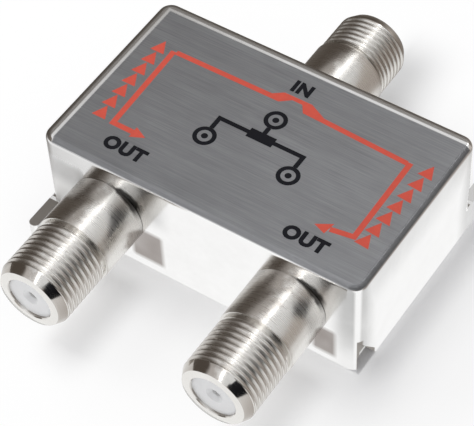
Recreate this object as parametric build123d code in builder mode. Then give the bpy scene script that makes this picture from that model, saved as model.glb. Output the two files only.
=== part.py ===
import os
from build123d import *

# Two-way coaxial splitter: a die-cast box with one F socket at the back and two at the front.
# Units are millimetres. The origin is the middle of the underside, +X runs along the box,
# the two outputs point to -Y, the input points to +Y, and +Z is up through the printed face.

# Box
BODY_WIDTH = 44.0
BODY_DEPTH = 26.4
BODY_HEIGHT = 15.5
WALL = 2.0
TOP_THICKNESS = 1.5
CORNER_RADIUS = 1.7
TOP_EDGE_RADIUS = 0.8
INNER_CORNER_RADIUS = 1.0

# Back cover and the rebate that it drops into
COVER_THICKNESS = 0.6
COVER_LEDGE = 0.7
COVER_GAP = 0.05
SOLDER_NOTCH_RADIUS = 1.3

# Slotted fixing ears, one at the front left and one at the back right
EAR_WIDTH = 6.0
EAR_REACH = 4.6
EAR_THICKNESS = 3.9
EAR_SLOT_WIDTH = 3.2
EAR_SLOT_END_GAP = 0.4
EAR_TIP_RADIUS = 0.65

# Corner relief in each end wall, beside the foot of the front right and back left corners
RELIEF_HEIGHT = 5.2
RELIEF_WIDTH = 3.3
RELIEF_LOW_SIDE = 0.8
RELIEF_DEPTH = 1.3
RELIEF_SKIN = 0.5

# F sockets, thread 3/8-32 UNEF
PORT_PITCH = 25.4
PORT_AXIS_HEIGHT = 7.75
OUTPUT_LENGTH = 15.8
INPUT_LENGTH = 13.8
THREAD_DIAMETER = 9.525
COLLAR_DIAMETER = 9.8
COLLAR_LENGTH = 7.2
GROOVE_DIAMETER = 9.0
GROOVE_LENGTH = 0.5
TIP_TAPER_LENGTH = 1.2
TIP_DIAMETER = 8.2
SPIGOT_DIAMETER = 8.2
PRESS_GAP = 0.01
BORE_DIAMETER = 6.6
MOUTH_DIAMETER = 6.0
MOUTH_LIP = 0.35

# Insulators and spring contacts
INSULATOR_GAP = 0.03
FRONT_INSULATOR_LENGTH = 2.4
REAR_INSULATOR_LENGTH = 2.6
PIN_HOLE_DIAMETER = 1.2
PIN_HOLE_FLARE = 0.5
CONTACT_DIAMETER = 2.4
CONTACT_BORE_DIAMETER = 1.1
CONTACT_SLIT_WIDTH = 0.35
CONTACT_SLIT_LENGTH = 6.0
CONTACT_BORE_DEPTH = 7.0
CONTACT_SEAT = 0.8
CONTACT_GAP = 0.04
TAIL_DIAMETER = 0.8
TAIL_REACH = 3.8

# Circuit board
BOARD_THICKNESS = 1.0
BOARD_EDGE_GAP = 0.5
BOARD_CORNER_RADIUS = 0.8
TRACK_THICKNESS = 0.05
TRACK_WIDTH = 1.0
PAD_RADIUS = 0.75
HOLE_GAP = 0.08

# Cast posts that carry the board, with a spigot through each
POST_DIAMETER = 2.8
POST_INSET = 2.2
SPIGOT_PIN_DIAMETER = 1.1
SPIGOT_PIN_PROUD = 0.4
GROUND_SOLDER_DIAMETER = 2.4
GROUND_SOLDER_HEIGHT = 0.35
SOLDER_CHAMFER = 0.25

# Solder at the contact tails and at the component leads
TAIL_SOLDER_WIDTH = 2.0
TAIL_SOLDER_LENGTH = 2.4
TAIL_SOLDER_DROP = 0.56
TAIL_SOLDER_FILM = 0.06
LEAD_SOLDER_DIAMETER = 1.3
LEAD_SOLDER_HEIGHT = 0.5

# Ferrite cores with two holes, and the wire wound through them
CORE_WIDTH = 4.4
CORE_HEIGHT = 2.6
CORE_HOLE_DIAMETER = 1.2
CORE_HOLE_PITCH = 2.2
MATCHING_CORE_LENGTH = 3.0
SPLITTING_CORE_LENGTH = 3.6
WIRE_DIAMETER = 0.25
TAP_DIAMETER = 0.34
WIRE_STEP = 0.45
WIRE_OVERHANG = 0.45

# Lead-through components under the board
LEAD_DIAMETER = 0.5
LEAD_BEND_RADIUS = 0.5
LEAD_STUB = 0.7
STANDOFF = 0.25
BODY_EDGE_RADIUS = 0.3
CAPACITOR_EDGE_RADIUS = 0.5
RESISTOR_DIAMETER = 1.7
RESISTOR_LENGTH = 3.6
RESISTOR_SPAN = 6.6
CHOKE_DIAMETER = 2.2
CHOKE_LENGTH = 4.6
CHOKE_SPAN = 7.4
DIODE_DIAMETER = 2.6
DIODE_LENGTH = 4.8
DIODE_SPAN = 7.8
CAPACITOR_DIAMETER = 3.6
CAPACITOR_THICKNESS = 1.6
CAPACITOR_SPAN = 2.0

# Places under the board, from its middle or from its edges
MATCHING_CORE_Y = 2.9
SPLITTING_CORE_Y = -3.6
RESISTOR_EDGE = 1.3
INPUT_PART_X = 6.6
INPUT_PART_EDGE = 3.2
OUTPUT_CAPACITOR_INSET = 5.4
OUTPUT_CAPACITOR_EDGE = 4.0
CHOKE_EDGE = 1.9
DIODE_EDGE = 6.4
DIODE_Y = 1.4

# Worked out from the sizes above
FRONT_Y = -BODY_DEPTH / 2
BACK_Y = BODY_DEPTH / 2
CAVITY_WIDTH = BODY_WIDTH - 2 * WALL
CAVITY_DEPTH = BODY_DEPTH - 2 * WALL
CAVITY_TOP = BODY_HEIGHT - TOP_THICKNESS
REBATE_WIDTH = CAVITY_WIDTH + 2 * COVER_LEDGE
REBATE_DEPTH = CAVITY_DEPTH + 2 * COVER_LEDGE
COVER_WIDTH = REBATE_WIDTH - 2 * COVER_GAP
COVER_DEPTH = REBATE_DEPTH - 2 * COVER_GAP
BOARD_WIDTH = CAVITY_WIDTH - 2 * BOARD_EDGE_GAP
BOARD_DEPTH = CAVITY_DEPTH - 2 * BOARD_EDGE_GAP
TRACK_FACE = PORT_AXIS_HEIGHT + TAIL_DIAMETER / 2 + TAIL_SOLDER_FILM
BOARD_FACE = TRACK_FACE + TRACK_THICKNESS
BOARD_TOP = BOARD_FACE + BOARD_THICKNESS
SEAT_LEVEL = TRACK_FACE - STANDOFF
POST_X = BOARD_WIDTH / 2 - POST_INSET
POST_Y = BOARD_DEPTH / 2 - POST_INSET
SPIGOT_PIN_LENGTH = CAVITY_TOP - TRACK_FACE + SPIGOT_PIN_PROUD

# name, place along X, direction along Y, length from the wall
PORTS = [
    ("in_port", 0.0, 1, INPUT_LENGTH),
    ("out_port_left", -PORT_PITCH / 2, -1, OUTPUT_LENGTH),
    ("out_port_right", PORT_PITCH / 2, -1, OUTPUT_LENGTH),
]

os.makedirs("parts", exist_ok=True)


def port_section(x, way):
    """Plane through a socket's axis: local x is the radius, local y points out of the box."""
    return Plane(origin=(x, way * BACK_Y, PORT_AXIS_HEIGHT), x_dir=(1, 0, 0), z_dir=(0, 0, way))


def port_hole(x, way):
    """Plane on the outer wall at a socket, facing into the box."""
    return Plane(origin=(x, way * BACK_Y, PORT_AXIS_HEIGHT), x_dir=(1, 0, 0), z_dir=(0, -way, 0))


def port_axis(x, way):
    return Axis((x, way * BACK_Y, PORT_AXIS_HEIGHT), (0, way, 0))


# Housing: box, ears, cavity, rebate for the cover, posts, port holes and corner reliefs
with BuildPart() as housing:
    with BuildSketch():
        RectangleRounded(BODY_WIDTH, BODY_DEPTH, CORNER_RADIUS)
    extrude(amount=BODY_HEIGHT)
    fillet(housing.edges().group_by(Axis.Z)[-1], TOP_EDGE_RADIUS)
    for side in (-1, 1):
        ear_x = side * (BODY_WIDTH - EAR_WIDTH) / 2
        with BuildSketch():
            with Locations((ear_x, side * (BACK_Y + (EAR_REACH - CORNER_RADIUS) / 2))):
                Rectangle(EAR_WIDTH, EAR_REACH + CORNER_RADIUS)
            with Locations((ear_x, side * (BACK_Y + EAR_REACH))):
                Rectangle(EAR_SLOT_WIDTH, 2 * (EAR_REACH - EAR_SLOT_END_GAP), mode=Mode.SUBTRACT)
        extrude(amount=EAR_THICKNESS)
        tips = housing.edges().filter_by(Axis.Z).group_by(Axis.Y)[-1 if side > 0 else 0]
        fillet(tips, EAR_TIP_RADIUS)
    with BuildSketch():
        RectangleRounded(CAVITY_WIDTH, CAVITY_DEPTH, INNER_CORNER_RADIUS)
    extrude(amount=CAVITY_TOP, mode=Mode.SUBTRACT)
    with BuildSketch():
        RectangleRounded(REBATE_WIDTH, REBATE_DEPTH, INNER_CORNER_RADIUS)
    extrude(amount=COVER_THICKNESS, mode=Mode.SUBTRACT)
    with BuildSketch(Plane.XY.offset(BOARD_TOP)):
        with GridLocations(2 * POST_X, 2 * POST_Y, 2, 2):
            Circle(POST_DIAMETER / 2)
    extrude(amount=CAVITY_TOP - BOARD_TOP)
    with BuildSketch(Plane.XY.offset(CAVITY_TOP)):
        with GridLocations(2 * POST_X, 2 * POST_Y, 2, 2):
            Circle(SPIGOT_PIN_DIAMETER / 2)
    extrude(amount=-SPIGOT_PIN_LENGTH)
    for _, x, way, _ in PORTS:
        with BuildSketch(port_hole(x, way)):
            Circle(SPIGOT_DIAMETER / 2 + PRESS_GAP)
        extrude(amount=WALL, mode=Mode.SUBTRACT)
    for side in (-1, 1):
        near = side * (FRONT_Y + RELIEF_SKIN)
        far = near + side * RELIEF_WIDTH
        with BuildSketch(Plane.YZ.offset(side * (BODY_WIDTH / 2 - RELIEF_DEPTH))):
            with BuildLine():
                Polyline((near, 0), (far, 0), (far, RELIEF_LOW_SIDE), (near, RELIEF_HEIGHT), (near, 0))
            make_face()
        extrude(amount=side * RELIEF_DEPTH, mode=Mode.SUBTRACT)
housing.part.label = "housing"
export_step(housing.part, "parts/housing.step")

# Back cover: a flat plate with a half-round solder notch in the middle of each edge
NOTCH_PLACES = [
    (COVER_WIDTH / 2, 0),
    (-COVER_WIDTH / 2, 0),
    (0, COVER_DEPTH / 2),
    (0, -COVER_DEPTH / 2),
]
with BuildPart() as back_cover:
    with BuildSketch():
        RectangleRounded(COVER_WIDTH, COVER_DEPTH, INNER_CORNER_RADIUS - COVER_GAP)
        with Locations(*NOTCH_PLACES):
            Circle(SOLDER_NOTCH_RADIUS, mode=Mode.SUBTRACT)
    extrude(amount=COVER_THICKNESS)
back_cover.part.label = "back_cover"
export_step(back_cover.part, "parts/back_cover.step")

# Solder that fills the notches and holds the cover to the rebate
with BuildPart() as cover_solder:
    with BuildSketch():
        with Locations(*NOTCH_PLACES):
            Circle(SOLDER_NOTCH_RADIUS - COVER_GAP)
        RectangleRounded(REBATE_WIDTH, REBATE_DEPTH, INNER_CORNER_RADIUS, mode=Mode.INTERSECT)
    extrude(amount=COVER_THICKNESS)
cover_solder.part.label = "cover_solder"
export_step(cover_solder.part, "parts/cover_solder.step")

# Sockets: barrel, two insulators and a slit spring contact each
for name, x, way, length in PORTS:
    section = port_section(x, way)
    axis = port_axis(x, way)
    lip = length - MOUTH_LIP
    thread = THREAD_DIAMETER / 2
    with BuildPart() as barrel:
        with BuildSketch(section):
            with BuildLine():
                Polyline(
                    (BORE_DIAMETER / 2, -WALL),
                    (SPIGOT_DIAMETER / 2, -WALL),
                    (SPIGOT_DIAMETER / 2, 0),
                    (COLLAR_DIAMETER / 2, 0),
                    (COLLAR_DIAMETER / 2, COLLAR_LENGTH),
                    (GROOVE_DIAMETER / 2, COLLAR_LENGTH),
                    (GROOVE_DIAMETER / 2, COLLAR_LENGTH + GROOVE_LENGTH),
                    (thread, COLLAR_LENGTH + GROOVE_LENGTH),
                    (thread, length - TIP_TAPER_LENGTH),
                    (TIP_DIAMETER / 2, length),
                    (MOUTH_DIAMETER / 2, length),
                    (MOUTH_DIAMETER / 2, lip),
                    (BORE_DIAMETER / 2, lip),
                    (BORE_DIAMETER / 2, -WALL),
                )
            make_face()
        revolve(axis=axis)
    barrel.part.label = f"{name}_barrel"
    export_step(barrel.part, f"parts/{name}_barrel.step")

    insulator = BORE_DIAMETER / 2 - INSULATOR_GAP
    hole = PIN_HOLE_DIAMETER / 2
    pocket = CONTACT_DIAMETER / 2 + CONTACT_GAP
    front_start = lip - FRONT_INSULATOR_LENGTH
    with BuildPart() as front_insulator:
        with BuildSketch(section):
            with BuildLine():
                Polyline(
                    (hole, lip - PIN_HOLE_FLARE),
                    (hole + PIN_HOLE_FLARE, lip),
                    (insulator, lip),
                    (insulator, front_start),
                    (pocket, front_start),
                    (pocket, front_start + CONTACT_SEAT),
                    (hole, front_start + CONTACT_SEAT),
                    (hole, lip - PIN_HOLE_FLARE),
                )
            make_face()
        revolve(axis=axis)
    front_insulator.part.label = f"{name}_front_insulator"
    export_step(front_insulator.part, f"parts/{name}_front_insulator.step")

    rear_end = REAR_INSULATOR_LENGTH - WALL
    tail_hole = TAIL_DIAMETER / 2 + CONTACT_GAP
    with BuildPart() as rear_insulator:
        with BuildSketch(section):
            with BuildLine():
                Polyline(
                    (tail_hole, -WALL),
                    (insulator, -WALL),
                    (insulator, rear_end),
                    (pocket, rear_end),
                    (pocket, rear_end - CONTACT_SEAT),
                    (tail_hole, rear_end - CONTACT_SEAT),
                    (tail_hole, -WALL),
                )
            make_face()
        revolve(axis=axis)
    rear_insulator.part.label = f"{name}_rear_insulator"
    export_step(rear_insulator.part, f"parts/{name}_rear_insulator.step")

    contact_start = rear_end - CONTACT_SEAT
    contact_end = front_start + CONTACT_SEAT
    with BuildPart() as contact:
        with BuildSketch(section):
            with BuildLine():
                Polyline(
                    (0, -WALL - TAIL_REACH),
                    (TAIL_DIAMETER / 2, -WALL - TAIL_REACH),
                    (TAIL_DIAMETER / 2, contact_start),
                    (CONTACT_DIAMETER / 2, contact_start),
                    (CONTACT_DIAMETER / 2, contact_end),
                    (CONTACT_BORE_DIAMETER / 2, contact_end),
                    (CONTACT_BORE_DIAMETER / 2, contact_end - CONTACT_BORE_DEPTH),
                    (0, contact_end - CONTACT_BORE_DEPTH),
                    (0, -WALL - TAIL_REACH),
                )
            make_face()
        revolve(axis=axis)
        with BuildSketch(section):
            with Locations((0, contact_end - CONTACT_SLIT_LENGTH / 2)):
                Rectangle(CONTACT_DIAMETER * 2, CONTACT_SLIT_LENGTH)
        extrude(amount=CONTACT_SLIT_WIDTH / 2, both=True, mode=Mode.SUBTRACT)
    contact.part.label = f"{name}_contact"
    export_step(contact.part, f"parts/{name}_contact.step")


def lead_places(part):
    """Where the two leads of a two-lead part pass through the board."""
    x, y = part["middle"]
    half = part["span"] / 2
    if part["along"] == "x":
        return [(x - half, y), (x + half, y)]
    return [(x, y - half), (x, y + half)]


def lying(name, x, y, along, span, diameter, length):
    return {
        "name": name,
        "middle": (x, y),
        "along": along,
        "span": span,
        "diameter": diameter,
        "length": length,
    }


CHOKE = (CHOKE_SPAN, CHOKE_DIAMETER, CHOKE_LENGTH)
DIODE = (DIODE_SPAN, DIODE_DIAMETER, DIODE_LENGTH)
RESISTOR = (RESISTOR_SPAN, RESISTOR_DIAMETER, RESISTOR_LENGTH)
INPUT_PART_Y = BOARD_DEPTH / 2 - INPUT_PART_EDGE
CHOKE_X = BOARD_WIDTH / 2 - CHOKE_EDGE
DIODE_X = BOARD_WIDTH / 2 - DIODE_EDGE
OUTPUT_CAPACITOR_X = PORT_PITCH / 2 - OUTPUT_CAPACITOR_INSET
OUTPUT_CAPACITOR_Y = OUTPUT_CAPACITOR_EDGE - BOARD_DEPTH / 2

resistor = lying("isolation_resistor", 0, RESISTOR_EDGE - BOARD_DEPTH / 2, "x", *RESISTOR)
input_choke = lying("input_choke", INPUT_PART_X, INPUT_PART_Y, "x", *CHOKE)
left_choke = lying("left_choke", -CHOKE_X, 0, "y", *CHOKE)
right_choke = lying("right_choke", CHOKE_X, 0, "y", *CHOKE)
left_diode = lying("left_pass_diode", -DIODE_X, DIODE_Y, "y", *DIODE)
right_diode = lying("right_pass_diode", DIODE_X, DIODE_Y, "y", *DIODE)
LYING_PARTS = [resistor, input_choke, left_choke, right_choke, left_diode, right_diode]


def disc(name, x, y):
    return {"name": name, "middle": (x, y), "along": "x", "span": CAPACITOR_SPAN}


input_capacitor = disc("input_capacitor", -INPUT_PART_X, INPUT_PART_Y)
left_capacitor = disc("left_output_capacitor", -OUTPUT_CAPACITOR_X, OUTPUT_CAPACITOR_Y)
right_capacitor = disc("right_output_capacitor", OUTPUT_CAPACITOR_X, OUTPUT_CAPACITOR_Y)
CAPACITORS = [input_capacitor, left_capacitor, right_capacitor]

# name, middle along Y, core length, side on which the wire ends come out, whether it has a middle tap
TRANSFORMERS = [
    ("matching_transformer", MATCHING_CORE_Y, MATCHING_CORE_LENGTH, 1, False),
    ("splitting_transformer", SPLITTING_CORE_Y, SPLITTING_CORE_LENGTH, -1, True),
]
SPLITTING_TAP = (0, SPLITTING_CORE_Y + SPLITTING_CORE_LENGTH / 2 + WIRE_OVERHANG)


def wire_ends(middle_y, core_length, way):
    """Where the two ends of a winding pass through the board."""
    y = middle_y + way * (core_length / 2 + 2 * WIRE_OVERHANG)
    return [(-CORE_HOLE_PITCH / 2, y), (CORE_HOLE_PITCH / 2, y)]


def tail_end(x, way):
    return (x, way * (BACK_Y - WALL - TAIL_REACH + TAIL_SOLDER_LENGTH / 2))


LEAD_HOLES = [place for part in LYING_PARTS + CAPACITORS for place in lead_places(part)]
WIRE_HOLES = [place for _, y, core, way, _ in TRANSFORMERS for place in wire_ends(y, core, way)]
HOLES = [
    (LEAD_HOLES, LEAD_DIAMETER / 2),
    (WIRE_HOLES, WIRE_DIAMETER / 2),
    ([SPLITTING_TAP], TAP_DIAMETER / 2),
]

# Circuit board, with a hole for each lead, wire end and cast spigot
with BuildPart() as circuit_board:
    with BuildSketch(Plane.XY.offset(BOARD_FACE)):
        RectangleRounded(BOARD_WIDTH, BOARD_DEPTH, BOARD_CORNER_RADIUS)
        for places, radius in HOLES:
            with Locations(*places):
                Circle(radius + HOLE_GAP, mode=Mode.SUBTRACT)
        with GridLocations(2 * POST_X, 2 * POST_Y, 2, 2):
            Circle(SPIGOT_PIN_DIAMETER / 2 + HOLE_GAP, mode=Mode.SUBTRACT)
    extrude(amount=BOARD_THICKNESS)
circuit_board.part.label = "circuit_board"
export_step(circuit_board.part, "parts/circuit_board.step")

# Copper on the board's open side: a pad at each hole and the tracks that join them
in_tail, left_tail, right_tail = [tail_end(x, way) for _, x, way, _ in PORTS]
match_left, match_right = wire_ends(MATCHING_CORE_Y, MATCHING_CORE_LENGTH, 1)
split_left, split_right = wire_ends(SPLITTING_CORE_Y, SPLITTING_CORE_LENGTH, -1)
TRACKS = [
    (in_tail, match_left),
    (in_tail, lead_places(input_choke)[0]),
    (in_tail, lead_places(input_capacitor)[1]),
    (lead_places(input_capacitor)[0], lead_places(left_diode)[1]),
    (lead_places(input_choke)[1], lead_places(right_diode)[1]),
    (lead_places(left_diode)[0], lead_places(left_choke)[1]),
    (lead_places(right_diode)[0], lead_places(right_choke)[1]),
    (lead_places(left_choke)[0], left_tail),
    (lead_places(right_choke)[0], right_tail),
    (split_left, lead_places(left_capacitor)[1]),
    (split_right, lead_places(right_capacitor)[0]),
    (lead_places(left_capacitor)[0], left_tail),
    (lead_places(right_capacitor)[1], right_tail),
    (split_left, lead_places(resistor)[0]),
    (split_right, lead_places(resistor)[1]),
    (match_right, SPLITTING_TAP),
]
with BuildPart() as circuit_tracks:
    with BuildSketch(Plane.XY.offset(TRACK_FACE)):
        for start, end in TRACKS:
            with BuildLine():
                Line(start, end)
            trace(line_width=TRACK_WIDTH)
        with Locations(*LEAD_HOLES, *WIRE_HOLES, SPLITTING_TAP):
            Circle(PAD_RADIUS)
        with Locations(in_tail, left_tail, right_tail):
            Rectangle(TAIL_SOLDER_WIDTH, TAIL_SOLDER_LENGTH)
        with GridLocations(2 * POST_X, 2 * POST_Y, 2, 2):
            Circle(GROUND_SOLDER_DIAMETER / 2)
            Circle(SPIGOT_PIN_DIAMETER / 2 + HOLE_GAP, mode=Mode.SUBTRACT)
        for places, radius in HOLES:
            with Locations(*places):
                Circle(radius + HOLE_GAP, mode=Mode.SUBTRACT)
    extrude(amount=TRACK_THICKNESS)
circuit_tracks.part.label = "circuit_tracks"
export_step(circuit_tracks.part, "parts/circuit_tracks.step")

# Solder rings that hold the board to the four cast spigots
with BuildPart() as ground_solder:
    with BuildSketch(Plane.XY.offset(TRACK_FACE)):
        with GridLocations(2 * POST_X, 2 * POST_Y, 2, 2):
            Circle(GROUND_SOLDER_DIAMETER / 2)
            Circle(SPIGOT_PIN_DIAMETER / 2, mode=Mode.SUBTRACT)
    extrude(amount=-GROUND_SOLDER_HEIGHT)
    low_edges = ground_solder.edges().group_by(Axis.Z)[0]
    chamfer(low_edges.filter_by(lambda edge: edge.radius > SPIGOT_PIN_DIAMETER), SOLDER_CHAMFER)
ground_solder.part.label = "ground_solder_joints"
export_step(ground_solder.part, "parts/ground_solder_joints.step")

# Solder under the three contact tails
with BuildPart() as contact_solder:
    for _, x, way, _ in PORTS:
        tip = (x, way * (BACK_Y - WALL - TAIL_REACH), PORT_AXIS_HEIGHT)
        upper = TRACK_FACE - PORT_AXIS_HEIGHT
        with BuildSketch(Plane(origin=tip, x_dir=(-way, 0, 0), z_dir=(0, way, 0))):
            with BuildLine():
                Polyline(
                    (-TAIL_SOLDER_WIDTH / 2, upper),
                    (-TAIL_DIAMETER / 2, -TAIL_SOLDER_DROP),
                    (TAIL_DIAMETER / 2, -TAIL_SOLDER_DROP),
                    (TAIL_SOLDER_WIDTH / 2, upper),
                    (-TAIL_SOLDER_WIDTH / 2, upper),
                )
            make_face()
            Circle(TAIL_DIAMETER / 2, mode=Mode.SUBTRACT)
        extrude(amount=TAIL_SOLDER_LENGTH)
contact_solder.part.label = "contact_solder_joints"
export_step(contact_solder.part, "parts/contact_solder_joints.step")

# Solder cones on the far side of the board, round each lead and wire end
with BuildPart() as lead_solder:
    for places, radius in HOLES:
        for px, py in places:
            with BuildSketch(Plane(origin=(px, py, BOARD_TOP), x_dir=(1, 0, 0), z_dir=(0, -1, 0))):
                with BuildLine():
                    Polyline(
                        (radius, 0),
                        (LEAD_SOLDER_DIAMETER / 2, 0),
                        (radius + HOLE_GAP, LEAD_SOLDER_HEIGHT),
                        (radius, LEAD_SOLDER_HEIGHT),
                        (radius, 0),
                    )
                make_face()
            revolve(axis=Axis((px, py, BOARD_TOP), (0, 0, 1)))
lead_solder.part.label = "lead_solder_joints"
export_step(lead_solder.part, "parts/lead_solder_joints.step")

# Parts that lie down: a moulded body and two bent leads each
for item in LYING_PARTS:
    x, y = item["middle"]
    level = SEAT_LEVEL - item["diameter"] / 2
    run = (1, 0, 0) if item["along"] == "x" else (0, 1, 0)
    with BuildPart() as body:
        with BuildSketch(Plane(origin=(x, y, level), x_dir=(0, 0, 1), z_dir=run)):
            Circle(item["diameter"] / 2)
        extrude(amount=item["length"] / 2, both=True)
        fillet(body.edges().filter_by(GeomType.CIRCLE), BODY_EDGE_RADIUS)
    body.part.label = f"{item['name']}_body"
    export_step(body.part, f"parts/{item['name']}_body.step")

    with BuildPart() as leads:
        for way in (-1, 1):
            reach = way * item["span"] / 2
            start = way * item["length"] / 2
            upright = BOARD_TOP + LEAD_STUB - level
            with BuildLine(Plane(origin=(x, y, level), x_dir=run, z_dir=(run[1], -run[0], 0))):
                wire = FilletPolyline((start, 0), (reach, 0), (reach, upright), radius=LEAD_BEND_RADIUS)
            with BuildSketch(Plane(origin=wire @ 0, z_dir=wire % 0)):
                Circle(LEAD_DIAMETER / 2)
            sweep(path=wire)
    leads.part.label = f"{item['name']}_leads"
    export_step(leads.part, f"parts/{item['name']}_leads.step")

# Disc capacitors: a lens of coated ceramic on two straight leads
for item in CAPACITORS:
    x, y = item["middle"]
    level = SEAT_LEVEL - CAPACITOR_DIAMETER / 2
    with BuildPart() as leads:
        with BuildSketch(Plane.XY.offset(level)):
            with Locations(*lead_places(item)):
                Circle(LEAD_DIAMETER / 2)
        extrude(amount=BOARD_TOP + LEAD_STUB - level)
    leads.part.label = f"{item['name']}_leads"
    export_step(leads.part, f"parts/{item['name']}_leads.step")

    with BuildPart() as body:
        with BuildSketch(Plane(origin=(x, y, level), x_dir=(1, 0, 0), z_dir=(0, 1, 0))):
            Circle(CAPACITOR_DIAMETER / 2)
        extrude(amount=CAPACITOR_THICKNESS / 2, both=True)
        fillet(body.edges().filter_by(GeomType.CIRCLE), CAPACITOR_EDGE_RADIUS)
        add(leads.part, mode=Mode.SUBTRACT)
    body.part.label = f"{item['name']}_body"
    export_step(body.part, f"parts/{item['name']}_body.step")

# Transformers: a ferrite core with two holes, and one wire that passes twice through both
for name, middle_y, core_length, way, tapped in TRANSFORMERS:
    level = SEAT_LEVEL - CORE_HEIGHT / 2
    with BuildPart() as core:
        with BuildSketch(Plane(origin=(0, middle_y, level), x_dir=(1, 0, 0), z_dir=(0, 1, 0))):
            SlotOverall(CORE_WIDTH, CORE_HEIGHT)
            with Locations((-CORE_HOLE_PITCH / 2, 0), (CORE_HOLE_PITCH / 2, 0)):
                Circle(CORE_HOLE_DIAMETER / 2, mode=Mode.SUBTRACT)
        extrude(amount=core_length / 2, both=True)
    core.part.label = f"{name}_core"
    export_step(core.part, f"parts/{name}_core.step")

    (left, outer), (right, _) = wire_ends(middle_y, core_length, way)
    inner = outer - way * WIRE_OVERHANG
    far_inner = middle_y - way * (core_length / 2 + WIRE_OVERHANG)
    far_outer = far_inner - way * WIRE_OVERHANG
    high, low = level + WIRE_STEP / 2, level - WIRE_STEP / 2
    end = BOARD_TOP + LEAD_STUB
    with BuildPart() as winding:
        with BuildLine():
            route = FilletPolyline(
                (left, outer, end),
                (left, outer, high),
                (left, far_inner, high),
                (right, far_inner, high),
                (right, inner, high),
                (left, inner, low),
                (left, far_outer, low),
                (right, far_outer, low),
                (right, outer, low),
                (right, outer, end),
                radius=WIRE_DIAMETER,
            )
        with BuildSketch(Plane(origin=route @ 0, z_dir=route % 0)):
            Circle(WIRE_DIAMETER / 2)
        sweep(path=route)
        if tapped:
            foot = high - TAP_DIAMETER / 2
            with BuildSketch(Plane.XY.offset(foot)):
                with Locations(SPLITTING_TAP):
                    Circle(TAP_DIAMETER / 2)
            extrude(amount=end - foot)
    winding.part.label = f"{name}_winding"
    export_step(winding.part, f"parts/{name}_winding.step")
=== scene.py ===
import math

import bmesh
import bpy
from bpy.props import FloatProperty, FloatVectorProperty, IntProperty, PointerProperty
from mathutils import Matrix, Vector


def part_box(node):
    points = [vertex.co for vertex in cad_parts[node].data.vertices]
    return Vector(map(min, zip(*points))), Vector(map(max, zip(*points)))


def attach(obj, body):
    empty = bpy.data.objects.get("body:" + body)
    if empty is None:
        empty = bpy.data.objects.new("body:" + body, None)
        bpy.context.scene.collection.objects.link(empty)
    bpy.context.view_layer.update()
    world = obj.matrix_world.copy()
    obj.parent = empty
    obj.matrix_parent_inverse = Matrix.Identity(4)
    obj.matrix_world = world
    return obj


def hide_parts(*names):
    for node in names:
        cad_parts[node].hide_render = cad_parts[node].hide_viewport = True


bl_info = {
    "name": "Coaxial Splitter",
    "version": (1, 0, 0),
    "blender": (4, 5, 0),
    "location": "View3D > Sidebar > Splitter",
    "description": "Dresses a coaxial splitter: threaded sockets, printed top, metal finishes and stage",
    "category": "Object",
}

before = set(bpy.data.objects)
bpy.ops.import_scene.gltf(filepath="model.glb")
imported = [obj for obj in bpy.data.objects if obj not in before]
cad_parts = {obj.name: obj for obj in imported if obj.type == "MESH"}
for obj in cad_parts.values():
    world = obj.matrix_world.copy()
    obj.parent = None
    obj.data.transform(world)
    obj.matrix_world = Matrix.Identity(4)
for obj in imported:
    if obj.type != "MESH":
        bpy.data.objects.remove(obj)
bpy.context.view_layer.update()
MM = 0.001

BOX_LOW, BOX_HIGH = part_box("housing")
TOP_Z = BOX_HIGH.z
FRONT_MOUTH_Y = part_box("out_port_left_barrel")[0].y
BACK_MOUTH_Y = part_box("in_port_barrel")[1].y
SOCKET_X = sum(corner.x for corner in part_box("out_port_right_barrel")) / 2

# Half the body's length and width, without its ears
HALF_X, HALF_Y = BOX_HIGH.x, 13.2 * MM
WALL_THICKNESS = 2.0 * MM
EDGE_RADIUS = 0.8 * MM

# Socket name, and the side of the box that it stands on: 1 for the back, -1 for the front
SOCKETS = (("in_port", 1), ("out_port_left", -1), ("out_port_right", -1))
TRANSFORMERS = ("matching_transformer", "splitting_transformer")
CHOKES = ("input_choke", "left_choke", "right_choke")
DIODES = ("left_pass_diode", "right_pass_diode")
CAPACITORS = ("input_capacitor", "left_output_capacitor", "right_output_capacitor")


class SocketSettings(bpy.types.PropertyGroup):
    """Sizes of the turned sockets."""

    thread_pitch: FloatProperty(
        name="Thread pitch", description="Distance from one thread crest to the next",
        default=0.794 * MM, min=0.0003, unit="LENGTH", precision=5)
    thread_depth: FloatProperty(
        name="Thread depth", description="Height of the thread from root to crest",
        default=0.30 * MM, min=0.0, unit="LENGTH", precision=5)
    thread_radius: FloatProperty(
        name="Crest radius", description="Radius over the thread crests",
        default=4.7625 * MM, min=0.001, unit="LENGTH", precision=5)
    collar_radius: FloatProperty(
        name="Collar radius", description="Radius of the smooth collar at the wall",
        default=4.9 * MM, min=0.001, unit="LENGTH", precision=5)
    collar_length: FloatProperty(
        name="Collar length", description="Length of the smooth collar from the wall",
        default=7.2 * MM, min=0.0, unit="LENGTH", precision=5)
    groove_length: FloatProperty(
        name="Groove length", description="Length of the groove between collar and thread",
        default=0.5 * MM, min=0.0, unit="LENGTH", precision=5)
    tip_length: FloatProperty(
        name="Tip length", description="Length of the smooth tapered tip",
        default=1.2 * MM, min=0.0, unit="LENGTH", precision=5)
    tip_radius: FloatProperty(
        name="Tip radius", description="Radius of the end face",
        default=4.1 * MM, min=0.001, unit="LENGTH", precision=5)
    steps: IntProperty(
        name="Steps", description="Facets round the thread", default=64, min=16, max=128)


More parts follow.
